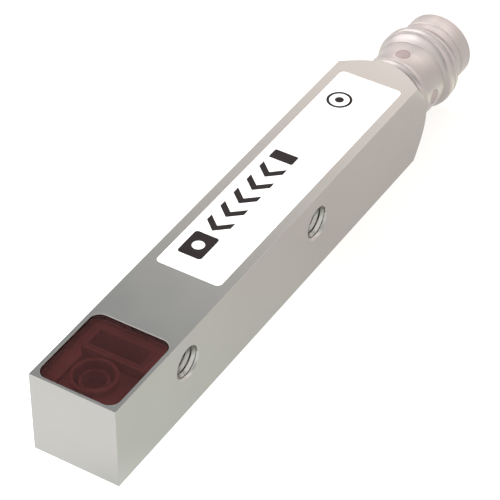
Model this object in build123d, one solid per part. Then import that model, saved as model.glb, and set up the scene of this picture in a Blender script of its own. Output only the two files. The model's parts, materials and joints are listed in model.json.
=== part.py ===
"""Miniature block photoelectric sensor, 8 x 8 x 59 mm, with an M8 plug moulded on its rear end.

Lengths are in millimetres. In every function Y is measured from the front face of the body, X from the
middle of its width and Z from its underside. The parts are shifted on export, so that the model's origin is
under the middle of its box, with the plug towards +Y and the window facing up.
"""

from build123d import *
import math
import os

# Overall size
LENGTH = 59.0
WIDTH = 8.0
HEIGHT = 8.0
AXIS_Z = HEIGHT / 2

# Housing
BODY_END = 49.75
BODY_END_R = 3.5
CORNER_START = 47.2
CORNER_R = math.hypot(WIDTH, HEIGHT) / 2
CAVITY_START = 12.0
CAVITY_SIZE = 5.4
CAVITY_CORNER_R = 1.8
SOCKET_START = 45.0
SOCKET_R = 3.1
PASSAGE_HALF = 2.3
PASSAGE_TOP = 3.0

# Mounting holes, M3, straight through the width
HOLE_Y = (10.0, 30.0)
HOLE_Z = 5.0
HOLE_R = 1.25
HOLE_MOUTH_R = 1.6
BOSS_R = 2.1

# Window recess and optics well
WINDOW_Y = (0.32, 8.60)
WINDOW_HALF = 3.63
WINDOW_CORNER_R = 0.95
RECESS_FLOOR = 6.4
WELL_Y = (0.9, 7.9)
WELL_HALF = 3.2
WELL_FLOOR = 1.2
WELL_CORNER_R = 0.5
PANE_Z = (7.50, 7.93)
GASKET_Z = (7.35, 7.49)
GASKET_WIDE = 0.15
FIT_GAP = 0.05

# Optics
EMITTER_Y = 3.0
RECEIVER_Y = 6.65
RIM_TOP = 7.45
CARRIER_TOP = 7.33
BARREL_R = 1.95
BARREL_BORE_R = 1.65
LENS_TUBE_R = 1.25
LENS_R = 1.0
SLOT_LENGTH = 4.9
SLOT_WIDTH = 1.8
LENS_SEAT_Z = 5.2
SLOT_FLOOR = 4.9
LED_ROOM_TOP = 3.35
CARRIER_FOOT = 2.2
DEEP_FLOOR = 6.3
SHALLOW_FLOOR = 6.95
CARRIER_GAP = 0.08
DEEP_X = (-2.2, 3.2)
DEEP_Y = (3.75, 5.3)
TUBE_FLOOR = 5.6
TUBE_TOP = 6.95
LED_ROOM_HALF = 1.0
SLOT_RIM = 0.15
CAN_HALF = (1.9, 0.95)
CAN_HEIGHT = 1.25
CAN_WALL = 0.15

# Boards
BOARD_THICK = 0.6
OPTICS_BOARD_Z = 1.4
MAIN_BOARD_Z = 2.1
MAIN_BOARD_TOP = MAIN_BOARD_Z + BOARD_THICK
MAIN_BOARD_Y = (12.3, 44.2)
MAIN_BOARD_HALF = 2.2
TONGUE_END = 50.1
TONGUE_HALF = 1.3

# Connector
SPIGOT_R = 3.08
SPIGOT_BORE_R = 2.45
RING_BORE_R = 2.8
RING_BORE_Y = (50.3, 53.05)
PLUG_BORE_R = 2.75
NECK_R = 3.4
SLEEVE_R = 3.29
INDICATOR_Y = 51.8
INDICATOR_R = 0.67
INSERT_Y = (53.55, 55.6)
SEAL_Y = (53.1, 53.5)
KEY_HALF = 0.4
KEY_END = 58.0
KEY_Z = (1.0, 1.9)
PIN_R = 0.5
PIN_TAIL_R = 0.4
PIN_TAIL_END = 52.2
PIN_PITCH_R = 1.5
PIN_Y = (51.0, 57.8)
PIN_ANGLES = {"1": 210, "3": 330, "4": 90}
WIRE_R = 0.25

# Label on the window face
LABEL_Y = (16.1, 46.1)
LABEL_HALF = 3.05
LABEL_CORNER_R = 0.45
LABEL_GAP = 0.03
LABEL_RECESS = 0.06
LABEL_THICK = 0.04
PRINT_THICK = 0.01
PRINT_CENTRE_X = -1.1
PRINT_HEIGHT = 2.3
SYMBOL_Y = 19.5
ARROW_Y = 21.6
ARROW_PITCH = 2.05
ARROWS = 5
TARGET_Y = 32.9
DOT_Y = 42.3
DOT_RING_R = (0.9, 1.15)
DOT_R = 0.4


def block(x, y, z):
    """A box between two limits on each axis."""
    size = [high - low for low, high in (x, y, z)]
    middle = [(low + high) / 2 for low, high in (x, y, z)]
    return Pos(*middle) * Box(*size)


def plate(half_width, y, z, corner_r):
    """A flat plate across the middle of the width, with rounded corners in plan."""
    outline = RectangleRounded(2 * half_width, y[1] - y[0], corner_r)
    return extrude(Pos(0, (y[0] + y[1]) / 2, z[0]) * outline, z[1] - z[0])


def post(radius, x, y, z):
    """An upright cylinder."""
    return Pos(x, y, (z[0] + z[1]) / 2) * Cylinder(radius, z[1] - z[0])


def rod(radius, y, x=0.0, z=AXIS_Z):
    """A cylinder along the length of the sensor."""
    return Pos(x, (y[0] + y[1]) / 2, z) * Rot(90, 0, 0) * Cylinder(radius, y[1] - y[0])


def cross_rod(radius, x, y, z):
    """A cylinder across the width."""
    return Pos((x[0] + x[1]) / 2, y, z) * Rot(0, 90, 0) * Cylinder(radius, x[1] - x[0])


def side_profile(points, half_width):
    """A shape drawn in the side view, as (y, z) points, and given a width."""
    outline = make_face(Polyline(*[(0, y, z) for y, z in points], close=True))
    return extrude(outline, half_width, dir=(1, 0, 0), both=True)


def turned(edges):
    """A turned part: edges drawn in X and Y, spun about the connector's axis."""
    face = Pos(0, 0, AXIS_Z) * make_face(edges)
    return revolve(face, Axis((0, 0, AXIS_Z), (0, 1, 0)))


def turned_points(points):
    """A turned part given by its corners, as (y, radius)."""
    return turned(Polyline(*[(r, y) for y, r in points], close=True))


def pin_place(name):
    """X and Z of a contact pin."""
    angle = math.radians(PIN_ANGLES[name])
    return PIN_PITCH_R * math.cos(angle), AXIS_Z + PIN_PITCH_R * math.sin(angle)


def housing():
    """Metal body: window recess at the front, long cavity, two cross bosses and a turned rear end."""
    body = block((-WIDTH / 2, WIDTH / 2), (0, BODY_END), (0, HEIGHT))
    turned_end = [(0, 0), (0, CORNER_R + 1), (CORNER_START, CORNER_R + 0.01)]
    turned_end += [(BODY_END, BODY_END_R), (BODY_END, 0)]
    body &= turned_points(turned_end)
    cavity_section = Plane.XZ * RectangleRounded(CAVITY_SIZE, CAVITY_SIZE, CAVITY_CORNER_R)
    cavity_length = SOCKET_START - CAVITY_START
    cavity = Pos(0, CAVITY_START, AXIS_Z) * extrude(cavity_section, cavity_length, dir=(0, 1, 0))
    cavity -= cross_rod(BOSS_R, (-WIDTH / 2, WIDTH / 2), HOLE_Y[1], HOLE_Z)
    body -= cavity
    body -= rod(SOCKET_R, (SOCKET_START, BODY_END))
    body -= plate(WINDOW_HALF, WINDOW_Y, (RECESS_FLOOR, HEIGHT), WINDOW_CORNER_R)
    body -= plate(WELL_HALF, WELL_Y, (WELL_FLOOR, RECESS_FLOOR), WELL_CORNER_R)
    passage_y = (WELL_Y[1] - 0.1, CAVITY_START + 0.2)
    body -= block((-PASSAGE_HALF, PASSAGE_HALF), passage_y, (WELL_FLOOR, PASSAGE_TOP))
    label_y = (LABEL_Y[0] - LABEL_GAP, LABEL_Y[1] + LABEL_GAP)
    body -= plate(LABEL_HALF + LABEL_GAP, label_y, (HEIGHT - LABEL_RECESS, HEIGHT), LABEL_CORNER_R)
    for y in HOLE_Y:
        body -= mounting_hole(y)
    return body


def mounting_hole(y):
    """Tap hole across the width, with a countersunk mouth on each side."""
    hole = cross_rod(HOLE_R, (-WIDTH / 2, WIDTH / 2), y, HOLE_Z)
    depth = HOLE_MOUTH_R - HOLE_R
    mouth = Cone(HOLE_R, HOLE_MOUTH_R, depth)
    hole += Pos(WIDTH / 2 - depth / 2, y, HOLE_Z) * Rot(0, 90, 0) * mouth
    hole += Pos(-WIDTH / 2 + depth / 2, y, HOLE_Z) * Rot(0, -90, 0) * mouth
    return hole


def front_window():
    """Pane, just below the housing's top face."""
    y = (WINDOW_Y[0] + FIT_GAP, WINDOW_Y[1] - FIT_GAP)
    return plate(WINDOW_HALF - FIT_GAP, y, PANE_Z, WINDOW_CORNER_R - FIT_GAP)


def window_gasket():
    """Adhesive seal frame under the edge of the pane."""
    y = (WINDOW_Y[0] + FIT_GAP, WINDOW_Y[1] - FIT_GAP)
    half = WINDOW_HALF - FIT_GAP
    corner = WINDOW_CORNER_R - FIT_GAP
    frame = plate(half, y, GASKET_Z, corner)
    inside_y = (y[0] + GASKET_WIDE, y[1] - GASKET_WIDE)
    return frame - plate(half - GASKET_WIDE, inside_y, GASKET_Z, corner - GASKET_WIDE)


def optics_carrier():
    """Moulded holder: emitter barrel in a stepped pocket, and a framed receiver slot behind it."""
    seat = RECESS_FLOOR + FIT_GAP
    flange_y = (WINDOW_Y[0] + CARRIER_GAP, WINDOW_Y[1] - CARRIER_GAP)
    flange_corner = WINDOW_CORNER_R - CARRIER_GAP
    carrier = plate(WINDOW_HALF - CARRIER_GAP, flange_y, (seat, CARRIER_TOP), flange_corner)
    foot_y = (WELL_Y[0] + 0.1, WELL_Y[1] - CARRIER_GAP)
    carrier += plate(WELL_HALF - 0.1, foot_y, (CARRIER_FOOT, seat), WELL_CORNER_R)
    near, far = DEEP_Y
    left, right = DEEP_X
    deep_corners = [(left, near), (right, near), (right, far), (left - 0.65, far), (left, far - 0.8)]
    deep = make_face(Polyline(*deep_corners, close=True))
    carrier -= extrude(Pos(0, 0, DEEP_FLOOR) * deep, CARRIER_TOP - DEEP_FLOOR)
    carrier -= block(DEEP_X, (0.8, near), (SHALLOW_FLOOR, CARRIER_TOP))
    carrier = emitter_barrel(carrier)
    return receiver_slot(carrier)


def emitter_barrel(carrier):
    """Adds the round barrel with its inner lens tube, open down to the emitter."""
    carrier += post(BARREL_R, 0, EMITTER_Y, (DEEP_FLOOR, RIM_TOP))
    carrier -= post(BARREL_BORE_R, 0, EMITTER_Y, (TUBE_FLOOR, RIM_TOP))
    carrier += post(LENS_TUBE_R, 0, EMITTER_Y, (TUBE_FLOOR, TUBE_TOP))
    carrier -= post(LENS_R, 0, EMITTER_Y, (LENS_SEAT_Z, TUBE_TOP))
    carrier -= post(LENS_R - 0.2, 0, EMITTER_Y, (LED_ROOM_TOP, LENS_SEAT_Z))
    room_y = (EMITTER_Y - LED_ROOM_HALF, EMITTER_Y + LED_ROOM_HALF)
    return carrier - block((-LED_ROOM_HALF, LED_ROOM_HALF), room_y, (CARRIER_FOOT, LED_ROOM_TOP))


def receiver_slot(carrier):
    """Adds the framed slot, narrower at its foot, and the room for the shield can."""
    half_slot = SLOT_LENGTH / 2
    slot_y = (RECEIVER_Y - SLOT_WIDTH / 2, RECEIVER_Y + SLOT_WIDTH / 2)
    frame_y = (slot_y[0] - SLOT_RIM, slot_y[1] + SLOT_RIM)
    carrier += block((-half_slot - SLOT_RIM, half_slot + SLOT_RIM), frame_y, (CARRIER_TOP, RIM_TOP))
    carrier -= block((-half_slot, half_slot), slot_y, (SLOT_FLOOR, RIM_TOP))
    carrier -= block((-1.6, 1.6), (RECEIVER_Y - 0.6, RECEIVER_Y + 0.6), (LED_ROOM_TOP, SLOT_FLOOR))
    can_room = (RECEIVER_Y - 1.0, WELL_Y[1])
    return carrier - block((-2.05, 2.05), can_room, (CARRIER_FOOT, LED_ROOM_TOP))


def emitter_lens():
    """Plano-convex lens on the seat in the lens tube."""
    radius = LENS_R - 0.02
    top = 6.05
    dome_r = 1.4
    body = post(radius, 0, EMITTER_Y, (LENS_SEAT_Z, top + 0.5))
    dome_centre = top + 0.45 - dome_r
    domed = Pos(0, EMITTER_Y, dome_centre) * Sphere(dome_r)
    domed += post(radius, 0, EMITTER_Y, (LENS_SEAT_Z, dome_centre + 0.95))
    return body & domed


def receiver_lens():
    """Bar lens across the receiver slot, rounded on top."""
    low, high = RECEIVER_Y - SLOT_WIDTH / 2 + 0.03, RECEIVER_Y + SLOT_WIDTH / 2 - 0.03
    base, shoulder, crown = SLOT_FLOOR, 5.3, 5.75
    outline = Polyline((0, low, shoulder), (0, low, base), (0, high, base), (0, high, shoulder))
    outline += ThreePointArc((0, high, shoulder), (0, RECEIVER_Y, crown), (0, low, shoulder))
    return extrude(make_face(outline), SLOT_LENGTH / 2 - 0.03, dir=(1, 0, 0), both=True)


def emitter_led():
    """Red emitter chip package with a small dome."""
    top = OPTICS_BOARD_Z + BOARD_THICK
    package = block((-0.8, 0.8), (EMITTER_Y - 0.8, EMITTER_Y + 0.8), (top, top + 0.6))
    return package + Pos(0, EMITTER_Y, top + 0.6) * Sphere(0.5)


def receiver_photodiode():
    """Flat photodiode package."""
    top = OPTICS_BOARD_Z + BOARD_THICK
    return block((-1.5, 1.5), (RECEIVER_Y - 0.55, RECEIVER_Y + 0.55), (top, top + 0.7))


def receiver_shield():
    """Thin metal can over the photodiode, open to the light."""
    top = OPTICS_BOARD_Z + BOARD_THICK
    roof = top + CAN_HEIGHT - CAN_WALL
    can = centred_block(CAN_HALF, (top, top + CAN_HEIGHT))
    can -= centred_block([half - CAN_WALL for half in CAN_HALF], (top, roof))
    return can - centred_block([half - 4 * CAN_WALL for half in CAN_HALF], (roof, top + CAN_HEIGHT))


def centred_block(half, z):
    """A box in the middle of the receiver's place, given by half its width and length."""
    return block((-half[0], half[0]), (RECEIVER_Y - half[1], RECEIVER_Y + half[1]), z)


def optics_board():
    """Small circuit board at the bottom of the optics well."""
    return block((-3.0, 3.0), (1.1, 7.7), (OPTICS_BOARD_Z, OPTICS_BOARD_Z + BOARD_THICK))


def board_link():
    """Flexible strip from the optics board, under the front boss, to the main board."""
    thick = 0.15
    low = [(6.5, OPTICS_BOARD_Z), (8.3, OPTICS_BOARD_Z), (11.7, MAIN_BOARD_Z), (13.6, MAIN_BOARD_Z)]
    under = [(y, z - thick) for y, z in reversed(low)]
    return side_profile(low + under, 1.5)


def main_board():
    """Long circuit board under the cross boss, with a tongue that reaches into the plug."""
    z = (MAIN_BOARD_Z, MAIN_BOARD_TOP)
    board = block((-MAIN_BOARD_HALF, MAIN_BOARD_HALF), MAIN_BOARD_Y, z)
    return board + block((-TONGUE_HALF, TONGUE_HALF), (MAIN_BOARD_Y[1], TONGUE_END), z)


def on_board(x, y, size, height):
    """A component standing on top of the main board, centred at x and y."""
    half_x, half_y = size[0] / 2, size[1] / 2
    z = (MAIN_BOARD_TOP, MAIN_BOARD_TOP + height)
    return block((x - half_x, x + half_x), (y - half_y, y + half_y), z)


def gull_wing(x, y, size, height, leads):
    """A moulded package with bent leads on both of its long sides."""
    lift = 0.1
    half_x, half_y = size[0] / 2, size[1] / 2
    base = MAIN_BOARD_TOP + lift
    package = block((x - half_x, x + half_x), (y - half_y, y + half_y), (base, base + height))
    pitch = size[1] / leads
    for i in range(leads):
        lead_y = y - half_y + pitch * (i + 0.5)
        for side in (-1, 1):
            inner, outer = x + side * (half_x - 0.1), x + side * (half_x + 0.35)
            x_range = (min(inner, outer), max(inner, outer))
            foot = (min(outer - side * 0.15, outer), max(outer - side * 0.15, outer))
            package += block(x_range, (lead_y - 0.1, lead_y + 0.1), (base + 0.15, base + 0.3))
            package += block(foot, (lead_y - 0.1, lead_y + 0.1), (MAIN_BOARD_TOP, base + 0.3))
    return package


def controller_chip():
    """Sensor controller, a flat leadless package."""
    return on_board(0, 18.0, (3.0, 3.0), 0.75)


def amplifier_chip():
    """Receiver amplifier with five leads a side."""
    return gull_wing(0, 24.0, (2.4, 3.2), 0.8, 5)


def voltage_regulator():
    """Voltage regulator behind the rear boss."""
    return gull_wing(-0.6, 36.9, (1.5, 2.0), 0.8, 3)


def output_transistors():
    """Two small output transistors."""
    return Compound(children=[gull_wing(x, 40.1, (0.9, 1.6), 0.7, 2) for x in (-1.15, 1.0)])


def protection_diodes():
    """Two surge diodes by the supply lines."""
    return Compound(children=[on_board(x, 34.2, (0.8, 1.5), 0.7) for x in (-1.3, 1.3)])


def capacitors():
    """Ceramic capacitors on top of the board."""
    places = [(-1.2, 14.2), (0.4, 14.2), (1.4, 20.8), (-1.4, 20.8), (0, 27.2)]
    return Compound(children=[on_board(x, y, (0.8, 1.6), 0.6) for x, y in places])


def resistors():
    """A row of chip resistors on the underside of the board."""
    height, half_x, half_y = 0.35, 0.25, 0.5
    chips = []
    for i in range(7):
        y = 16.0 + 2.2 * i
        y_range = (y - half_y, y + half_y)
        chips.append(block((-half_x, half_x), y_range, (MAIN_BOARD_Z - height, MAIN_BOARD_Z)))
    return Compound(children=chips)


def status_leds():
    """Two indicator chips at the end of the board's tongue."""
    return Compound(children=[on_board(x, 49.6, (0.8, 0.8), 0.55) for x in (-0.5, 0.5)])


def board_spacers():
    """Two moulded frames that hold the board in the cavity."""
    return Compound(children=[board_spacer(y) for y in (32.6, 42.6)])


def board_spacer(y):
    """One spacer: outline of the cavity, an open middle, and a slot for the board."""
    thick = 0.8
    outer_size = CAVITY_SIZE - 2 * FIT_GAP
    inner_size = CAVITY_SIZE - 1.6
    outer = Plane.XZ * RectangleRounded(outer_size, outer_size, CAVITY_CORNER_R - FIT_GAP)
    inner = Plane.XZ * RectangleRounded(inner_size, inner_size, 0.9)
    frame = Pos(0, y, AXIS_Z) * extrude(outer - inner, thick, dir=(0, 1, 0))
    half = MAIN_BOARD_HALF + 0.02
    return frame - block((-half, half), (y, y + thick), (MAIN_BOARD_Z - 0.02, MAIN_BOARD_TOP + 0.02))


def ground_spring():
    """Bent leaf spring that earths the board to the roof of the cavity."""
    foot, bend, roof = MAIN_BOARD_TOP, 5.9, 6.62
    outer = [(44.1, foot), (43.6, foot), (43.6, bend), (44.3, roof)]
    inner = [(44.3, roof - 0.2), (43.75, bend - 0.05), (43.75, foot + 0.15), (44.1, foot + 0.15)]
    return Pos(1.6, 0, 0) * side_profile(outer + inner, 0.4)


def lead_wires():
    """Three insulated wires from the board to the contact pins."""
    wires = []
    for name, x_start in (("1", -0.75), ("3", 0.75), ("4", 0.0)):
        x_end, z_end = pin_place(name)
        z_start = MAIN_BOARD_TOP + WIRE_R
        route = [(x_start, MAIN_BOARD_Y[1], z_start), (x_start, 45.8, z_start)]
        route += [(x_end, 48.8, z_end), (x_end, PIN_Y[0], z_end)]
        path = FilletPolyline(*route, radius=1.6)
        section = Plane(origin=path @ 0, z_dir=path % 0) * Circle(WIRE_R)
        wires.append(sweep(section, path=path))
    return Compound(children=wires)


def potting_compound(board, wires, leds):
    """Cast resin around the board's tongue and the wires, inside the plug's spigot."""
    resin = rod(SPIGOT_BORE_R - 0.02, (SOCKET_START + 0.3, TONGUE_END + 0.1))
    resin -= board
    for wire in wires.solids():
        resin -= wire
    for led in leds.solids():
        resin -= led
    return resin


def light_guide_ring():
    """Clear ring in the neck, with four round windows that reach the surface."""
    low, high = RING_BORE_Y[0] + 0.15, RING_BORE_Y[1] - FIT_GAP
    ring = rod(RING_BORE_R - 0.02, (low, high))
    reach = NECK_R - 0.06
    for turn in (0, 90, 180, 270):
        outward = Pos(0, INDICATOR_Y, AXIS_Z) * Rot(0, turn, 0)
        ring += outward * Pos(0, 0, reach / 2) * Cylinder(INDICATOR_R - 0.01, reach)
    return ring - rod(2.1, (low, high))


def connector_shell():
    """Turned metal plug: spigot, neck with four indicator holes, two beads, groove and end sleeve."""
    spigot = [(SPIGOT_R, SOCKET_START), (SPIGOT_R, 46.6), (2.8, 46.6), (2.8, 47.3), (SPIGOT_R, 47.3)]
    spigot += [(SPIGOT_R, BODY_END), (3.3, BODY_END), (3.3, 50.0), (3.45, 50.3), (NECK_R, 50.9)]
    spigot += [(NECK_R, 52.9), (3.43, 53.7)]
    outline = Polyline(*spigot)
    outline += ThreePointArc((3.43, 53.7), (3.78, 54.1), (3.9, 54.6))
    outline += ThreePointArc((3.9, 54.6), (3.86, 54.85), (3.72, 54.97))
    outline += ThreePointArc((3.72, 54.97), (3.88, 55.3), (3.74, 55.75))
    groove = [(3.74, 55.75), (3.34, 56.35), (3.27, 56.55), (3.22, 57.35), (SLEEVE_R, 57.42)]
    groove += [(SLEEVE_R, 58.9), (3.18, LENGTH)]
    outline += Polyline(*groove)
    inside = [(3.18, LENGTH), (2.88, LENGTH), (PLUG_BORE_R, 58.85), (PLUG_BORE_R, RING_BORE_Y[1])]
    inside += [(RING_BORE_R, RING_BORE_Y[1]), (RING_BORE_R, RING_BORE_Y[0]), (SPIGOT_BORE_R, RING_BORE_Y[0])]
    inside += [(SPIGOT_BORE_R, SOCKET_START), (SPIGOT_R, SOCKET_START)]
    outline += Polyline(*inside)
    shell = turned(outline)
    shell -= Pos(0, INDICATOR_Y, AXIS_Z) * Cylinder(INDICATOR_R, 2 * NECK_R + 1)
    shell -= cross_rod(INDICATOR_R, (-NECK_R - 0.5, NECK_R + 0.5), INDICATOR_Y, AXIS_Z)
    return shell


def shell_o_ring():
    """Seal in the groove of the spigot."""
    section = [(46.68, 2.82), (46.68, 3.02), (46.78, 3.09), (47.12, 3.09), (47.22, 3.02), (47.22, 2.82)]
    return turned_points(section)


def with_pin_holes(part, y):
    """The part with a hole for each contact pin."""
    for name in PIN_ANGLES:
        x, z = pin_place(name)
        part -= rod(PIN_R + 0.01, y, x, z)
    return part


def contact_seal():
    """Soft disc behind the insert that seals round the pins."""
    return with_pin_holes(rod(PLUG_BORE_R - 0.03, SEAL_Y), SEAL_Y)


def connector_insert():
    """Moulded pin holder with a coding key along the wall of the sleeve."""
    body = rod(PLUG_BORE_R - 0.02, INSERT_Y)
    key_y = (INSERT_Y[1] - 0.5, KEY_END)
    body += block((-KEY_HALF, KEY_HALF), key_y, KEY_Z) & rod(PLUG_BORE_R - 0.02, key_y)
    return with_pin_holes(body, (INSERT_Y[0], KEY_END))


def contact_pin(name):
    """Plug contact with a rounded tip and a thinner soldering end."""
    x, z = pin_place(name)
    pin = rod(PIN_R, (PIN_TAIL_END, PIN_Y[1]), x, z)
    tip = pin.edges().sort_by(Axis.Y)[-1]
    return fillet(tip, 0.4) + rod(PIN_TAIL_R, (PIN_Y[0], PIN_TAIL_END), x, z)


def type_label():
    """Label film in its shallow recess."""
    low = HEIGHT - LABEL_RECESS
    return plate(LABEL_HALF, LABEL_Y, (low, low + LABEL_THICK), LABEL_CORNER_R)


def printed(outline):
    """A printed mark of the given outline on top of the label."""
    return extrude(Pos(0, 0, HEIGHT - LABEL_RECESS + LABEL_THICK) * outline, PRINT_THICK)


def beam_arrow(y):
    """An arrow mark that points along the label, towards the window."""
    half, stem, head = PRINT_HEIGHT / 2, 0.75, 1.0
    right = [(half, y + head), (half, y + head + stem)]
    left = [(-half, y + head + stem), (-half, y + head)]
    corners = [(0, y), *right, (0, y + stem), *left]
    return Pos(PRINT_CENTRE_X, 0) * make_face(Polyline(*corners, close=True))


def label_print():
    """Plain printed marks: a sensor symbol, its beam as arrows, a target bar, and a ring with a dot."""
    lens = Pos(PRINT_CENTRE_X, SYMBOL_Y) * Circle(0.55)
    marks = [printed(Pos(PRINT_CENTRE_X, SYMBOL_Y) * RectangleRounded(PRINT_HEIGHT, 3.0, 0.3) - lens)]
    for i in range(ARROWS):
        marks.append(printed(beam_arrow(ARROW_Y + ARROW_PITCH * i)))
    target = Pos(PRINT_CENTRE_X, TARGET_Y)
    marks.append(printed(target * RectangleRounded(PRINT_HEIGHT, 1.2, 0.15)))
    dot = Pos(PRINT_CENTRE_X, DOT_Y)
    marks.append(printed(dot * (Circle(DOT_RING_R[1]) - Circle(DOT_RING_R[0]))))
    marks.append(printed(dot * Circle(DOT_R)))
    return Compound(children=marks)


def save(name, part):
    """Write one sub-part, moved to the model's own origin."""
    export_step(Pos(0, -LENGTH / 2, 0) * part, f"parts/{name}.step")


def main():
    os.makedirs("parts", exist_ok=True)
    board, wires, leds = main_board(), lead_wires(), status_leds()
    save("main_board", board)
    save("lead_wires", wires)
    save("status_leds", leds)
    save("potting_compound", potting_compound(board, wires, leds))
    for name in PIN_ANGLES:
        save(f"contact_pin_{name}", contact_pin(name))
    makers = [
        housing, front_window, window_gasket, optics_carrier, emitter_lens, receiver_lens, emitter_led,
        receiver_photodiode, receiver_shield, optics_board, board_link, controller_chip, amplifier_chip,
        voltage_regulator, output_transistors, protection_diodes, capacitors, resistors, board_spacers,
        ground_spring, light_guide_ring, connector_shell, shell_o_ring, contact_seal, connector_insert,
        type_label, label_print,
    ]
    for make in makers:
        save(make.__name__, make())


main()
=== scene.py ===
"""Looks of the miniature block photoelectric sensor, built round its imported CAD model.

Lengths are in metres, in the CAD model's frame: +Y towards the plug, +Z up out of the window face, and the
origin under the middle of the sensor.
"""

import json
import math

import bmesh
import bpy
from mathutils import Matrix, Vector


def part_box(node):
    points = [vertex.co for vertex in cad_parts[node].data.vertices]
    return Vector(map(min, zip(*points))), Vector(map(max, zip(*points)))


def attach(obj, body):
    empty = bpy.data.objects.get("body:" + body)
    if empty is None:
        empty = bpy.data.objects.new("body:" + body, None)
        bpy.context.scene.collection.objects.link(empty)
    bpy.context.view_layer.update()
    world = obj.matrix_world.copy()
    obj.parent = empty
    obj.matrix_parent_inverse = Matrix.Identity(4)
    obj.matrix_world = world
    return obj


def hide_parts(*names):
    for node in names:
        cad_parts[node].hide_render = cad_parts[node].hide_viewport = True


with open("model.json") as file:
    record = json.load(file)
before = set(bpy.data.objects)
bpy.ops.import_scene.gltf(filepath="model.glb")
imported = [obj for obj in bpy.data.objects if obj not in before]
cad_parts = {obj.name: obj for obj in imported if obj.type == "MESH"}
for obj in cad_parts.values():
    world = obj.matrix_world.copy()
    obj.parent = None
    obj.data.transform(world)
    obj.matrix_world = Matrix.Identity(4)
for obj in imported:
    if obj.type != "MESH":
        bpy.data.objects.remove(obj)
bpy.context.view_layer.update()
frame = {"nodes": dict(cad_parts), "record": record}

MM = 0.001
HOUSING_LOW, HOUSING_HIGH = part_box("housing")
SHELL_LOW, SHELL_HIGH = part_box("connector_shell")
FRONT_Y = HOUSING_LOW.y
HALF_WIDTH = HOUSING_HIGH.x
AXIS_Z = (SHELL_LOW.z + SHELL_HIGH.z) / 2

# Tapped cross holes: places in millimetres back from the front face, height, thread, the radius within which
# edges stay sharp, and the radius of the mouth, which bounds the cut metal
HOLE_Y = (10.0, 30.0)
HOLE_Z = 5.0 * MM
THREAD_MINOR_R = 1.24 * MM
THREAD_MAJOR_R = 1.5 * MM
THREAD_PITCH = 0.5 * MM
HOLE_SHARP_R = 1.52 * MM
HOLE_MOUTH_R = 1.66 * MM

# Rounding of the edges, and the angle from which an edge counts as sharp
EDGE_WEAR = 0.03 * MM
INSERT_WEAR = 0.04 * MM
LABEL_WEAR = 0.012 * MM
SHARP_DEGREES = 32

# Cleaning of a copied CAD mesh: the distance within which vertices are joined, and the angle below which
# faces are
WELD_DISTANCE = 0.0005 * MM
FLAT_DEGREES = 0.4

# Plug, in millimetres: the indicator windows' place and radius, the neck, the light
# guide's ring, and a distance from the axis that is outside the whole shell
INDICATOR_Y = 51.8
INDICATOR_R = 0.67
NECK_R = 3.4
RING_INNER_R = 2.1
RING_OUTER_R = 2.78
RING_CHAMFER = 0.05
PAST_SHELL = 4.2

# Label: how far the film goes past its CAD piece, to all but fill the recess, and the radius of its corners
LABEL_SPREAD = 0.022 * MM
LABEL_CORNER_R = 0.46 * MM

# Camera: angles in degrees, lens and sensor in millimetres, and the eye's place from the foot of the front
# face, along the camera's own axes
CAMERA_AZIMUTH = 31.697
CAMERA_ELEVATION = 40.878
CAMERA_LENS = 170.9
CAMERA_SENSOR = 36.0
CAMERA_RIGHT = 13.496 * MM
CAMERA_UP = 16.871 * MM
CAMERA_BACK = 184.554 * MM


def along(y):
    """A place along the sensor, in millimetres back from its front face."""
    return FRONT_Y + y * MM


# ---------------------------------------------------------------- node helpers


class Shader:
    """Builds one Principled material node by node."""

    def __init__(self, name):
        self.material = bpy.data.materials.new(name)
        self.material.use_nodes = True
        self.tree = self.material.node_tree
        self.principled = self.tree.nodes["Principled BSDF"]
        self.output = self.tree.nodes["Material Output"]
        self.place = self.tree.nodes.new("ShaderNodeTexCoord").outputs["Object"]

    def node(self, kind, inputs=None, **settings):
        made = self.tree.nodes.new(kind)
        for key, value in settings.items():
            setattr(made, key, value)
        for key, value in (inputs or {}).items():
            self.feed(made.inputs[key], value)
        return made

    def feed(self, socket, value):
        if isinstance(value, bpy.types.NodeSocket):
            self.tree.links.new(value, socket)
        else:
            socket.default_value = value

    def set(self, **values):
        for key, value in values.items():
            self.feed(self.principled.inputs[key.replace("_", " ")], value)

    def stretched(self, scale):
        """The object's own coordinates, scaled differently on each axis."""
        return self.node("ShaderNodeMapping", {"Vector": self.place, "Scale": scale}).outputs[0]

    def noise(self, size, detail=2.0, roughness=0.5, vector=None):
        """Noise whose features are about size metres across."""
        inputs = {"Vector": vector or self.place, "Scale": 1 / size, "Detail": detail, "Roughness": roughness}
        return self.node("ShaderNodeTexNoise", inputs).outputs["Fac"]

    def calc(self, operation, *values):
        """The result of one Math node."""
        return self.node("ShaderNodeMath", dict(enumerate(values)), operation=operation).outputs[0]

    def between(self, factor, low, high, start=0.3, end=0.7):
        """A number that goes from low to high as factor goes from start to end."""
        inputs = {"Value": factor, "From Min": start, "From Max": end, "To Min": low, "To Max": high}
        return self.node("ShaderNodeMapRange", inputs).outputs[0]

    def blend(self, factor, first, second):
        """A colour between two colours."""
        made = self.node("ShaderNodeMix", data_type="RGBA")
        self.feed(made.inputs["Factor"], factor)
        self.feed(made.inputs["A"], colour(first))
        self.feed(made.inputs["B"], colour(second))
        return made.outputs["Result"]

    def bump(self, *layers):
        """Bump from (height socket, distance in metres) pairs, one on top of the other."""
        normal = None
        for height, distance in layers:
            inputs = {"Height": height, "Distance": distance, "Strength": 1.0}
            if normal is not None:
                inputs["Normal"] = normal
            normal = self.node("ShaderNodeBump", inputs).outputs[0]
        self.set(Normal=normal)


def colour(value):
    """An RGBA value from three numbers, or a socket as it is."""
    if isinstance(value, bpy.types.NodeSocket):
        return value
    return (*value, 1.0)


def shaded(base, share):
    """A colour darkened or lightened to a share of itself."""
    return tuple(c * share for c in base)


# ---------------------------------------------------------------- materials


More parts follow.
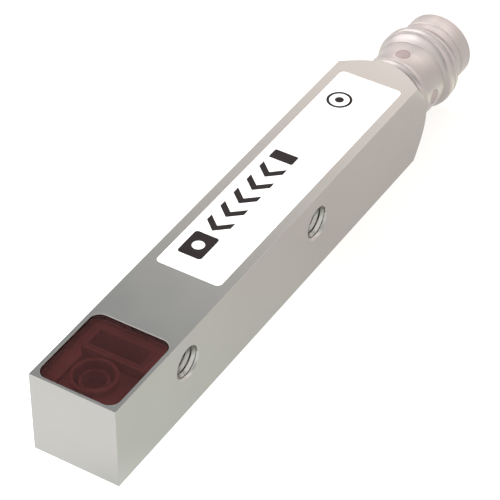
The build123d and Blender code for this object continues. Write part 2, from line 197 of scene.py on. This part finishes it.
def housing_metal():
    """Bead-blasted plated metal with fine pits, and brighter cut metal in the tapped holes."""
    s = Shader("housing_metal")
    base, cut_metal = (0.36, 0.334, 0.312), (0.43, 0.415, 0.39)
    section = s.stretched((0.0, 1.0, 1.0))
    spans = []
    for y in HOLE_Y:
        span = s.node("ShaderNodeVectorMath", {0: section, 1: (0.0, along(y), HOLE_Z)}, operation="DISTANCE")
        spans.append(span.outputs["Value"])
    tapped = s.between(s.calc("MINIMUM", *spans), 1.0, 0.0, HOLE_SHARP_R, HOLE_MOUTH_R)
    cloud, patch = s.noise(6 * MM, 3.0), s.noise(2.5 * MM, 2.0)
    speck = s.noise(0.25 * MM, 3.0, 0.6)
    tone = s.blend(s.between(cloud, 0.0, 1.0), shaded(base, 0.96), base)
    pitted = s.blend(s.between(speck, 0.0, 0.3), tone, shaded(base, 0.97))
    s.set(Base_Color=s.blend(tapped, pitted, cut_metal), Metallic=1.0)
    s.set(Roughness=s.calc("MULTIPLY_ADD", tapped, 0.12, s.between(patch, 0.214, 0.226)))
    s.bump((s.noise(0.12 * MM, 2.0), 0.00006 * MM), (s.noise(0.9 * MM, 2.0), 0.00009 * MM))
    return s.material


def shell_metal():
    """Plated turned metal with very fine rings round the connector's axis."""
    s = Shader("shell_metal")
    base = (0.415, 0.376, 0.362)
    rings = s.noise(0.11 * MM, 2.0, 0.5, s.stretched((0.03, 1.0, 0.03)))
    cloud = s.noise(3 * MM, 3.0)
    s.set(Base_Color=s.blend(s.between(cloud, 0.0, 1.0), shaded(base, 0.94), base), Metallic=1.0)
    s.set(Roughness=s.between(rings, 0.33, 0.42))
    s.bump((rings, 0.0003 * MM), (s.noise(0.3 * MM), 0.0002 * MM))
    return s.material


def moulded_plastic(name, base, roughness, grain):
    """Moulded plastic with a fine spark-eroded texture, whose depth is given in millimetres."""
    s = Shader(name)
    fine, cloud = s.noise(0.10 * MM, 2.0, 0.6), s.noise(2.5 * MM, 3.0)
    lighter = tuple(min(1.0, c * 1.25 + 0.004) for c in base)
    s.set(Base_Color=s.blend(s.between(cloud, 0.0, 1.0), base, lighter))
    s.set(Roughness=s.between(fine, roughness - 0.07, roughness + 0.08))
    s.bump((fine, grain * MM))
    return s.material


def window_pane():
    """Red filter plastic: tinted light passes through its faces, and its side faces are painted near-black as
    shade along the recess edge.
    """
    s = Shader("red_window")
    cloud, fine = s.noise(3 * MM, 2.0), s.noise(0.4 * MM, 3.0)
    normal = s.node("ShaderNodeTexCoord").outputs["Normal"]
    height = s.node("ShaderNodeSeparateXYZ", {0: normal}).outputs["Z"]
    flat = s.calc("ABSOLUTE", height)
    haze = s.blend(s.between(cloud, 0.0, 1.0), (0.12, 0.049, 0.047), (0.14, 0.057, 0.055))
    # Side faces get a near-black colour and stay mostly opaque: painted shade for the dark line along the
    # recess edge
    s.set(Base_Color=s.blend(s.between(flat, 0.0, 1.0, 0.2, 0.8), (0.022, 0.010, 0.010), haze))
    s.set(Roughness=s.between(fine, 0.09, 0.11), IOR=1.49)
    s.bump((s.noise(1.6 * MM), 0.0006 * MM))
    tint = s.blend(s.between(cloud, 0.0, 1.0), (0.70, 0.49, 0.48), (0.74, 0.52, 0.51))
    clear = s.node("ShaderNodeBsdfTransparent", {"Color": tint}).outputs[0]
    body = s.between(flat, 0.75, 0.16, 0.2, 0.8)
    mixed = s.node("ShaderNodeMixShader", {0: body, 1: clear, 2: s.principled.outputs[0]}).outputs[0]
    s.tree.links.new(mixed, s.output.inputs["Surface"])
    return s.material


def clear_plastic(name, base, roughness, transmission):
    """Clear or milky moulded plastic."""
    s = Shader(name)
    cloud, fine = s.noise(1.2 * MM, 3.0), s.noise(0.15 * MM, 2.0)
    s.set(Base_Color=s.blend(s.between(cloud, 0.0, 1.0), shaded(base, 0.92), base))
    s.set(Roughness=s.between(fine, roughness, roughness + 0.06), IOR=1.49, Transmission_Weight=transmission)
    s.bump((fine, 0.0008 * MM))
    return s.material


def label_film():
    """White satin polyester film with a trace of fibre in its surface."""
    s = Shader("label_film")
    fine, cloud = s.noise(0.18 * MM, 3.0, 0.6), s.noise(5 * MM, 2.0)
    s.set(Base_Color=s.blend(s.between(cloud, 0.0, 1.0), (0.90, 0.90, 0.895), (0.94, 0.94, 0.935)))
    s.set(Roughness=s.between(fine, 0.36, 0.48))
    s.bump((fine, 0.0009 * MM), (s.noise(2.2 * MM), 0.002 * MM))
    return s.material


def label_ink():
    """Near-black printing ink, a little thinner in places."""
    s = Shader("label_ink")
    speck, cloud = s.noise(0.14 * MM, 3.0, 0.7), s.noise(1.5 * MM, 2.0)
    tone = s.blend(s.between(cloud, 0.0, 1.0), (0.013, 0.009, 0.009), (0.019, 0.014, 0.014))
    s.set(Base_Color=s.blend(s.between(speck, 0.0, 0.5, 0.62, 0.8), tone, (0.05, 0.045, 0.045)))
    s.set(Roughness=s.between(speck, 0.42, 0.5), Specular_IOR_Level=0.08)
    s.bump((speck, 0.0012 * MM))
    return s.material


def circuit_board():
    """Green solder mask with the raised lines of copper tracks under it."""
    s = Shader("circuit_board")
    bricks = s.node("ShaderNodeTexBrick", {"Vector": s.place, "Scale": 1 / (1.2 * MM), "Mortar Size": 0.06})
    track = bricks.outputs["Fac"]
    mask = s.blend(s.noise(2 * MM, 3.0), (0.010, 0.115, 0.045), (0.016, 0.16, 0.06))
    s.set(Base_Color=s.blend(track, mask, (0.03, 0.26, 0.10)))
    s.set(Roughness=s.between(s.noise(0.3 * MM), 0.22, 0.36))
    s.bump((track, 0.02 * MM), (s.noise(0.2 * MM), 0.001 * MM))
    return s.material


def rolled_metal(name, base, roughness):
    """Thin rolled or plated strip, with lengthwise lines."""
    s = Shader(name)
    lines = s.noise(0.08 * MM, 2.0, 0.5, s.stretched((1.0, 0.08, 1.0)))
    cloud = s.noise(1.5 * MM, 2.0)
    s.set(Base_Color=s.blend(s.between(cloud, 0.0, 1.0), shaded(base, 0.9), base), Metallic=1.0)
    s.set(Roughness=s.between(lines, roughness - 0.05, roughness + 0.08))
    s.bump((lines, 0.0006 * MM))
    return s.material


MATERIALS = {
    "housing_metal": housing_metal(),
    "shell_metal": shell_metal(),
    "window_red": window_pane(),
    "seal_rubber": moulded_plastic("seal_rubber", (0.12, 0.11, 0.11), 0.6, 0.003),
    "optics_plastic": moulded_plastic("optics_plastic", (0.145, 0.136, 0.136), 0.40, 0.0015),
    "lens_clear": clear_plastic("lens_clear", (0.92, 0.92, 0.94), 0.03, 1.0),
    "led_package": moulded_plastic("led_package", (0.75, 0.70, 0.60), 0.3, 0.001),
    "chip_black": moulded_plastic("chip_black", (0.018, 0.018, 0.02), 0.5, 0.002),
    "tinned_steel": rolled_metal("tinned_steel", (0.72, 0.72, 0.70), 0.28),
    "board_green": circuit_board(),
    "flex_amber": moulded_plastic("flex_amber", (0.50, 0.20, 0.03), 0.25, 0.001),
    "ceramic_tan": moulded_plastic("ceramic_tan", (0.42, 0.30, 0.18), 0.4, 0.001),
    "spacer_plastic": moulded_plastic("spacer_plastic", (0.62, 0.60, 0.54), 0.45, 0.002),
    "spring_bronze": rolled_metal("spring_bronze", (0.72, 0.46, 0.24), 0.25),
    "wire_insulation": moulded_plastic("wire_insulation", (0.02, 0.03, 0.22), 0.35, 0.001),
    "potting_resin": moulded_plastic("potting_resin", (0.030, 0.022, 0.020), 0.2, 0.001),
    "light_guide": clear_plastic("light_guide", (0.285, 0.213, 0.207), 0.30, 0.0),
    "insert_plastic": moulded_plastic("insert_plastic", (0.022, 0.022, 0.024), 0.42, 0.002),
    "pin_gold": rolled_metal("pin_gold", (0.86, 0.62, 0.26), 0.16),
    "label_white": label_film(),
    "label_ink": label_ink(),
}


# ---------------------------------------------------------------- mesh helpers


def mesh_of(made, name, outward=True):
    """A mesh from a bmesh, which is let go. Its faces are turned outward unless outward is False."""
    if outward:
        bmesh.ops.recalc_face_normals(made, faces=made.faces)
    mesh = bpy.data.meshes.new(name)
    made.to_mesh(mesh)
    made.free()
    return mesh


def circle(steps, radius=1.0):
    """Points evenly round a circle."""
    turns = [2 * math.pi * i / steps for i in range(steps)]
    return [(radius * math.cos(turn), radius * math.sin(turn)) for turn in turns]


def loft(name, rings):
    """A closed solid over rings of points, with a flat face at each end."""
    made = bmesh.new()
    rings = [[made.verts.new(point) for point in ring] for ring in rings]
    for here, there in zip(rings, rings[1:]):
        for i in range(len(here)):
            k = (i + 1) % len(here)
            made.faces.new((here[i], here[k], there[k], there[i]))
    made.faces.new(rings[0])
    made.faces.new(rings[-1])
    return mesh_of(made, name)


def finished(name, mesh, slot, *nodes):
    """A piece that rides on the sensor's body and stands for these CAD nodes."""
    piece = bpy.data.objects.new(name, mesh)
    bpy.context.scene.collection.objects.link(piece)
    piece.data.materials.clear()
    piece.data.materials.append(MATERIALS[slot])
    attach(piece, "root")
    if nodes:
        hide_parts(*nodes)
    return piece


def cad_mesh(node):
    """A welded copy of a CAD node's mesh, with its flat faces whole again."""
    made = bmesh.new()
    made.from_mesh(frame["nodes"][node].data)
    bmesh.ops.remove_doubles(made, verts=made.verts, dist=WELD_DISTANCE)
    bmesh.ops.dissolve_limit(made, angle_limit=math.radians(FLAT_DEGREES), verts=made.verts, edges=made.edges)
    return mesh_of(made, node + "_detail", outward=False)


def with_modifier(piece, kind, **settings):
    """Puts one modifier on the piece and applies it."""
    modifier = piece.modifiers.new(kind.lower(), kind)
    for key, value in settings.items():
        setattr(modifier, key, value)
    depsgraph = bpy.context.evaluated_depsgraph_get()
    mesh = bpy.data.meshes.new_from_object(piece.evaluated_get(depsgraph))
    piece.modifiers.clear()
    piece.data = mesh


def smooth_by_angle(mesh, degrees=SHARP_DEGREES):
    """Smooth shading with sharp edges where faces meet at more than this angle."""
    mesh.polygons.foreach_set("use_smooth", [True] * len(mesh.polygons))
    mesh.set_sharp_from_angle(angle=math.radians(degrees))


def softened(piece, width, keep=None):
    """Rounds the piece's sharp edges over by width. Edges whose middle fails keep(point) stay sharp."""
    made = bmesh.new()
    made.from_mesh(piece.data)
    weight = made.edges.layers.float.new("bevel_weight_edge")
    for edge in made.edges:
        middle = (edge.verts[0].co + edge.verts[1].co) / 2
        sharp = edge.is_manifold and edge.calc_face_angle() > math.radians(SHARP_DEGREES)
        edge[weight] = 1.0 if sharp and (keep is None or keep(middle)) else 0.0
    made.to_mesh(piece.data)
    made.free()
    smooth_by_angle(piece.data)
    with_modifier(
        piece, "BEVEL", width=width, segments=2, limit_method="WEIGHT", use_clamp_overlap=False,
        harden_normals=False, miter_outer="MITER_ARC",
    )
    with_modifier(piece, "WEIGHTED_NORMAL", weight=100, thresh=0.01, keep_sharp=True)


def refine(node, name, slot, width):
    """A CAD node with its edges softened."""
    softened(finished(name, cad_mesh(node), slot, node), width)


def lathe_mesh(name, outline, steps=160):
    """A closed ring spun about the connector's axis from (y, radius) points that go all the way round."""
    made = bmesh.new()
    rings = [[made.verts.new((r * c, y, AXIS_Z + r * s)) for y, r in outline] for c, s in circle(steps)]
    for i, here in enumerate(rings):
        there = rings[(i + 1) % steps]
        for j in range(len(outline)):
            k = (j + 1) % len(outline)
            made.faces.new((here[j], here[k], there[k], there[j]))
    return mesh_of(made, name)


def arc(start, via, end, steps):
    """Points of the arc through three points, without the first one."""
    (ax, ay), (bx, by), (cx, cy) = start, via, end
    d = 2 * (ax * (by - cy) + bx * (cy - ay) + cx * (ay - by))
    a2, b2, c2 = ax * ax + ay * ay, bx * bx + by * by, cx * cx + cy * cy
    ux = (a2 * (by - cy) + b2 * (cy - ay) + c2 * (ay - by)) / d
    uy = (a2 * (cx - bx) + b2 * (ax - cx) + c2 * (bx - ax)) / d
    radius = math.hypot(ax - ux, ay - uy)
    first = math.atan2(ay - uy, ax - ux)
    middle = (math.atan2(by - uy, bx - ux) - first) % (2 * math.pi)
    last = (math.atan2(cy - uy, cx - ux) - first) % (2 * math.pi)
    sweep = last if middle < last else last - 2 * math.pi
    turns = [first + sweep * i / steps for i in range(1, steps + 1)]
    return [(ux + radius * math.cos(t), uy + radius * math.sin(t)) for t in turns]


def cutter(name, mesh):
    """A temporary solid for a boolean cut."""
    made = bpy.data.objects.new(name, mesh)
    bpy.context.scene.collection.objects.link(made)
    return made


def cut(piece, *cutters):
    """Takes the cutters out of the piece and throws them away."""
    for tool in cutters:
        with_modifier(piece, "BOOLEAN", operation="DIFFERENCE", object=tool, solver="EXACT")
        bpy.data.objects.remove(tool)


# ---------------------------------------------------------------- housing


def thread_mesh(name, centre, start, end, steps=44):
    """A threaded bolt along X, to cut a tapped hole with: a solid core with a helical ridge on it."""
    # One turn of the ridge, as (share of the pitch, radius)
    profile = [(0.00, THREAD_MINOR_R), (0.44, THREAD_MAJOR_R), (0.50, THREAD_MAJOR_R), (0.92, THREAD_MINOR_R)]
    turns = math.ceil((end - start) / THREAD_PITCH) + 1
    made = bmesh.new()
    columns = []
    for i in range(steps + 1):
        angle = 2 * math.pi * i / steps
        column = []
        for turn in range(turns):
            for share, radius in profile:
                x = start + (turn + share + i / steps - 1) * THREAD_PITCH
                y, z = centre[0] + radius * math.cos(angle), centre[1] + radius * math.sin(angle)
                column.append(made.verts.new((x, y, z)))
        columns.append(column)
    for here, there in zip(columns, columns[1:]):
        for j in range(len(here) - 1):
            made.faces.new((here[j], here[j + 1], there[j + 1], there[j]))
    bmesh.ops.remove_doubles(made, verts=made.verts, dist=0.0001 * MM)
    bmesh.ops.holes_fill(made, edges=[edge for edge in made.edges if edge.is_boundary], sides=0)
    return mesh_of(made, name)


def build_housing():
    """The body: CAD shape with slightly worn edges and a thread in each mounting hole."""
    body = finished("housing_body", cad_mesh("housing"), "housing_metal", "housing")
    centres = [(along(y), HOLE_Z) for y in HOLE_Y]
    reach = HALF_WIDTH + MM
    cut(body, *[cutter(f"thread_cutter_{i}", thread_mesh("thread_cutter", centre, -reach, reach))
                for i, centre in enumerate(centres)])

    def outside_thread(point):
        return min(math.hypot(point.y - y, point.z - z) for y, z in centres) > HOLE_SHARP_R

    softened(body, EDGE_WEAR, outside_thread)


# ---------------------------------------------------------------- connector


def build_shell():
    """Turned plug shell, with four round windows for the indicator light."""
    outline = [(45.0, 3.03), (45.05, 3.08), (46.6, 3.08), (46.6, 2.8), (47.3, 2.8), (47.3, 3.08)]
    outline += [(49.75, 3.08), (49.75, 3.27), (49.78, 3.3), (50.0, 3.3), (50.3, 3.43), (50.36, 3.45)]
    outline += [(50.86, 3.42), (50.9, 3.4), (52.9, 3.4), (53.66, 3.425), (53.7, 3.45)]
    outline += arc((53.7, 3.45), (54.1, 3.78), (54.6, 3.9), 12)
    outline += arc((54.6, 3.9), (54.85, 3.86), (54.97, 3.72), 8)
    outline += arc((54.97, 3.72), (55.3, 3.88), (55.75, 3.74), 12)
    outline += [(56.35, 3.34), (56.40, 3.31), (56.55, 3.27), (57.35, 3.22), (57.42, 3.29), (58.88, 3.29)]
    outline += [(58.96, 3.25), (59.0, 3.18), (59.0, 2.90), (58.98, 2.86), (58.85, 2.75), (53.05, 2.75)]
    outline += [(53.05, 2.8), (50.3, 2.8), (50.3, 2.45), (45.0, 2.45)]
    placed = [(along(y), r * MM) for y, r in outline]
    shell = finished("plug_shell", lathe_mesh("plug_shell", placed), "shell_metal", "connector_shell")
    centre = (0, along(INDICATOR_Y), AXIS_Z)
    for axis in ("X", "Z"):
        tube = tube_mesh("indicator_cutter", centre, axis, INDICATOR_R * MM, PAST_SHELL * MM)
        cut(shell, cutter("indicator_cutter", tube))
    smooth_by_angle(shell.data, 28)


def tube_mesh(name, centre, axis, radius, half_length, steps=48):
    """A plain cylinder about a centre, along X or Z."""
    turn = {"X": Matrix.Rotation(math.pi / 2, 3, "Y"), "Z": Matrix.Identity(3)}[axis]
    rings = []
    for z in (-half_length, half_length):
        rings.append([turn @ Vector((x, y, z)) + Vector(centre) for x, y in circle(steps, radius)])
    return loft(name, rings)


def build_indicators():
    """The light-guide ring inside the neck, with a flush round window at each of its four sides."""
    # Each window clears its hole a little, lies just below the neck's surface and reaches down into the ring
    radius, dome_r, foot = (INDICATOR_R - 0.006) * MM, (NECK_R - 0.01) * MM, (RING_OUTER_R - 0.02) * MM
    # How far out each ring of points lies, and how far below the dome
    shares_and_sinks = [(0.0, 0.0), (0.45, 0.0), (0.8, 0.0), (0.97, 0.0), (1.0, 0.02 * MM)]
    centre = Vector((0, along(INDICATOR_Y), AXIS_Z))
    steps = 40
    made = bmesh.new()
    for quarter in range(4):
        around = Matrix.Rotation(math.pi / 2 * quarter, 3, "Y")
        rings = []
        for share, sink in shares_and_sinks:
            points = circle(steps, radius * share) if share else [(0.0, 0.0)]
            rings.append([Vector((x, y, math.sqrt(dome_r ** 2 - x * x) - sink)) for x, y in points])
        rings.append([Vector((v.x, v.y, foot)) for v in rings[-1]])
        placed = [[made.verts.new(around @ v + centre) for v in ring] for ring in rings]
        for i in range(steps):
            k = (i + 1) % steps
            made.faces.new((placed[0][0], placed[1][i], placed[1][k]))
            for here, there in zip(placed[1:], placed[2:]):
                made.faces.new((here[i], there[i], there[k], here[k]))
        made.faces.new(placed[-1])
    windows = finished("indicator_windows", mesh_of(made, "indicator_windows"), "light_guide")
    smooth_by_angle(windows.data, 40)

    low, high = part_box("light_guide_ring")
    y0, y1 = (low.y - FRONT_Y) / MM, (high.y - FRONT_Y) / MM
    inner, outer, chamfer = RING_INNER_R, RING_OUTER_R, RING_CHAMFER
    outline = [(y0, inner + chamfer), (y0 + chamfer, inner), (y1 - chamfer, inner), (y1, inner + chamfer)]
    outline += [(y1, outer - chamfer), (y1 - chamfer, outer), (y0 + chamfer, outer), (y0, outer - chamfer)]
    ring = lathe_mesh("indicator_ring", [(along(y), r * MM) for y, r in outline], 96)
    guide = finished("indicator_ring", ring, "light_guide", "light_guide_ring")
    smooth_by_angle(guide.data, 30)


def spun_mesh(name, outline, x, z, steps=32):
    """A solid spun about a line along Y, from (y in millimetres, radius) points, closed at both ends."""
    return loft(name, [[(x + c, along(y), z + s) for c, s in circle(steps, r * MM)] for y, r in outline])


def build_pins():
    """Gold contact pins with rounded tips."""
    pin_r, tip_y, tip_r = 0.5, 57.4, 0.4
    outline = [(51.0, 0.4), (52.2, 0.4), (52.2, pin_r), (tip_y, pin_r)]
    for degrees in range(10, 91, 10):
        turn = math.radians(degrees)
        outline.append((tip_y + tip_r * math.sin(turn), pin_r - tip_r + tip_r * math.cos(turn)))
    for name in ("contact_pin_1", "contact_pin_3", "contact_pin_4"):
        low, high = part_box(name)
        x, z = (low.x + high.x) / 2, (low.z + high.z) / 2
        pin = finished(name.replace("contact", "plug"), spun_mesh(name, outline, x, z), "pin_gold", name)
        smooth_by_angle(pin.data, 40)


# ---------------------------------------------------------------- label


def rounded_plate(name, low, high, radius, steps=10):
    """A flat plate between two corners, with rounded corners in plan."""
    corners = [(high.x - radius, high.y - radius, 0), (low.x + radius, high.y - radius, 90),
               (low.x + radius, low.y + radius, 180), (high.x - radius, low.y + radius, 270)]
    plan = []
    for x, y, first in corners:
        turns = [math.radians(first + 90 * i / steps) for i in range(steps + 1)]
        plan += [(x + radius * math.cos(turn), y + radius * math.sin(turn)) for turn in turns]
    return loft(name, [[(x, y, z) for x, y in plan] for z in (low.z, high.z)])


def build_label():
    """The label film, all but filling its shallow recess."""
    low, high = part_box("type_label")
    spread = Vector((LABEL_SPREAD, LABEL_SPREAD, 0))
    mesh = rounded_plate("label_film", low - spread, high + spread, LABEL_CORNER_R)
    softened(finished("label_film", mesh, "label_white", "type_label"), LABEL_WEAR)


# ---------------------------------------------------------------- scene

# Floor: its light in front of the sensor, beside it, farther back and by the plug. From beside to behind it
# changes over BEHIND_Y. By the plug it rises between the first two places of PLUG_GLOW_Y and falls between the
# last two. From front to beside it changes along FADE_SLOPE (across, along), FADE_HALF to each side.
FLOOR_FRONT = (1.40, 1.50, 1.53)
FLOOR_BESIDE = (0.98, 1.09, 1.02)
FLOOR_BEHIND = (0.87, 0.85, 0.83)
FLOOR_BY_PLUG = (1.50, 1.55, 1.35)
BEHIND_Y = (FRONT_Y + 4 * MM, FRONT_Y + 34 * MM)
PLUG_GLOW_Y = (26.0 * MM, 28.5 * MM, 29.5 * MM, 32.0 * MM)
FLOOR_SIZE = 1.5
FLOOR_DEPTH = 0.02 * MM
FADE_SLOPE = (0.75, 0.66)
FADE_HALF = 5 * MM

# Surround: colours by how far a direction points along WORLD_AXIS, times colours by how far it points along X
WORLD_AXIS = (0.2, 0.8, -0.55)
WORLD_STRENGTH = 3.8
WORLD_STOPS = [
    (-1.0, (0.44, 0.44, 0.44)),
    (-0.25, (0.54, 0.53, 0.52)),
    (-0.13, (0.21, 0.22, 0.225)),
    (-0.07, (0.030, 0.058, 0.070)),
    (0.0, (0.052, 0.090, 0.105)),
    (0.17, (0.57, 0.56, 0.55)),
    (0.28, (0.96, 0.90, 0.88)),
    (0.45, (0.45, 0.425, 0.415)),
    (1.0, (0.38, 0.365, 0.36)),
]
WORLD_SIDE_STOPS = [
    (-1.0, (0.70, 0.70, 0.70)),
    (-0.6, (0.72, 0.71, 0.71)),
    (-0.45, (0.98, 0.98, 0.98)),
    (-0.39, (1.0, 1.0, 1.0)),
    (-0.33, (0.84, 0.84, 0.84)),
    (-0.2, (0.83, 0.83, 0.83)),
    (0.0, (0.96, 0.96, 0.96)),
    (0.33, (0.85, 0.85, 0.85)),
    (0.6, (0.68, 0.68, 0.68)),
    (1.0, (0.62, 0.62, 0.62)),
]


def build_camera():
    """The camera at the photo's angle."""
    azimuth, elevation = math.radians(CAMERA_AZIMUTH), math.radians(CAMERA_ELEVATION)
    level = math.cos(elevation)
    back = Vector((math.sin(azimuth) * level, -math.cos(azimuth) * level, math.sin(elevation)))
    right = (-back).cross(Vector((0, 0, 1))).normalized()
    up = right.cross(-back)
    data = bpy.data.cameras.new("camera")
    data.lens, data.sensor_width = CAMERA_LENS, CAMERA_SENSOR
    data.clip_start, data.clip_end = 0.005, 20.0
    camera = bpy.data.objects.new("camera", data)
    camera.location = Vector((0, FRONT_Y, 0)) + right * CAMERA_RIGHT + up * CAMERA_UP + back * CAMERA_BACK
    camera.rotation_mode = "QUATERNION"
    camera.rotation_quaternion = Matrix((right, up, back)).transposed().to_quaternion()
    bpy.context.scene.collection.objects.link(camera)
    bpy.context.scene.camera = camera


def build_floor():
    """A pale backlit floor just under the sensor, brightest in front of it and beside the plug."""
    made = bmesh.new()
    corners = [(-1, -1), (1, -1), (1, 1), (-1, 1)]
    made.faces.new([made.verts.new((x * FLOOR_SIZE, y * FLOOR_SIZE, -FLOOR_DEPTH)) for x, y in corners])
    floor = bpy.data.objects.new("floor", mesh_of(made, "floor", outward=False))
    bpy.context.scene.collection.objects.link(floor)
    s = Shader("floor_panel")
    grain = s.noise(4 * MM, 2.0)
    place = s.node("ShaderNodeSeparateXYZ", {"Vector": s.place}).outputs
    ahead = s.calc("MULTIPLY_ADD", place["Y"], FADE_SLOPE[1], s.calc("MULTIPLY", place["X"], FADE_SLOPE[0]))
    corner = HALF_WIDTH * FADE_SLOPE[0] + FRONT_Y * FADE_SLOPE[1]
    inputs = {"Value": ahead, "From Min": corner - FADE_HALF, "From Max": corner + FADE_HALF}
    beside = s.node("ShaderNodeMapRange", inputs, interpolation_type="SMOOTHSTEP").outputs[0]
    behind = s.between(place["Y"], 0.0, 1.0, *BEHIND_Y)
    rising = s.between(place["Y"], 0.0, 1.0, *PLUG_GLOW_Y[:2])
    falling = s.between(place["Y"], 1.0, 0.0, *PLUG_GLOW_Y[2:])
    by_plug = s.calc("MULTIPLY", rising, falling)
    glow = s.blend(by_plug, s.blend(behind, FLOOR_BESIDE, FLOOR_BEHIND), FLOOR_BY_PLUG)
    pale = s.blend(s.between(grain, 0.0, 1.0), (0.14, 0.14, 0.14), (0.15, 0.15, 0.15))
    s.set(Base_Color=pale, Roughness=0.9)
    s.set(Emission_Color=s.blend(beside, FLOOR_FRONT, glow), Emission_Strength=1.0)
    floor.data.materials.append(s.material)
    s.material.cycles.emission_sampling = "NONE"


def build_world():
    """Soft studio surround, with a dark band high up behind the sensor and a bright, warmer one below it."""
    world = bpy.data.worlds.new("studio")
    bpy.context.scene.world = world
    world.use_nodes = True
    tree = world.node_tree
    background = tree.nodes["Background"]
    direction = tree.nodes.new("ShaderNodeTexCoord").outputs["Generated"]
    toward = tree.nodes.new("ShaderNodeVectorMath")
    toward.operation = "DOT_PRODUCT"
    toward.inputs[1].default_value = WORLD_AXIS
    tree.links.new(direction, toward.inputs[0])
    tones = world_ramp(tree, toward.outputs["Value"], WORLD_STOPS)
    sides = tree.nodes.new("ShaderNodeSeparateXYZ")
    tree.links.new(direction, sides.inputs[0])
    shade = world_ramp(tree, sides.outputs["X"], WORLD_SIDE_STOPS)
    both = tree.nodes.new("ShaderNodeMix")
    both.data_type, both.blend_type = "RGBA", "MULTIPLY"
    both.inputs["Factor"].default_value = 1.0
    tree.links.new(tones, both.inputs["A"])
    tree.links.new(shade, both.inputs["B"])
    tree.links.new(both.outputs["Result"], background.inputs["Color"])
    background.inputs["Strength"].default_value = WORLD_STRENGTH
    world.cycles.sampling_method = "NONE"


def world_ramp(tree, value, stops):
    """Colours along a value that goes from -1 to 1. Stops are (value, colour), with colours from 0 to 1."""
    spread = tree.nodes.new("ShaderNodeMapRange")
    spread.inputs["From Min"].default_value = -1.0
    tree.links.new(value, spread.inputs["Value"])
    ramp = tree.nodes.new("ShaderNodeValToRGB")
    tree.links.new(spread.outputs[0], ramp.inputs[0])
    elements = ramp.color_ramp.elements
    while len(elements) < len(stops):
        elements.new(0.5)
    for element, (place, tone) in zip(elements, stops):
        element.position = (place + 1) / 2
        element.color = (*tone, 1.0)
    return ramp.outputs[0]


def area_light(name, azimuth, elevation, distance, size, energy):
    """A square soft box that faces the sensor's middle. Angles are in degrees, azimuth 0 in front."""
    a, e = math.radians(azimuth), math.radians(elevation)
    back = Vector((math.sin(a) * math.cos(e), -math.cos(a) * math.cos(e), math.sin(e)))
    data = bpy.data.lights.new(name, "AREA")
    data.shape, data.size, data.energy = "SQUARE", size, energy
    light = bpy.data.objects.new(name, data)
    light.location = back * distance
    light.rotation_mode = "QUATERNION"
    light.rotation_quaternion = back.to_track_quat("Z", "Y")
    bpy.context.scene.collection.objects.link(light)


def assign_cad_materials():
    """Every CAD node that still shows gets its slot's material."""
    slots = {part["node"]: part["material_slot"] for part in frame["record"]["subparts"]}
    for name, node in frame["nodes"].items():
        if node.hide_render:
            continue
        slot = slots[name]
        node.data.materials.clear()
        node.data.materials.append(MATERIALS[slot])
        smooth_by_angle(node.data)


build_housing()
refine("front_window", "window_pane", "window_red", EDGE_WEAR)
refine("optics_carrier", "optics_holder", "optics_plastic", EDGE_WEAR)
build_shell()
build_pins()
build_label()
build_indicators()
refine("connector_insert", "pin_insert", "insert_plastic", INSERT_WEAR)
assign_cad_materials()
build_floor()
build_world()
area_light("key", azimuth=-85, elevation=45, distance=0.70, size=0.80, energy=3.0)
build_camera()
bpy.context.scene.view_settings.view_transform = "Standard"
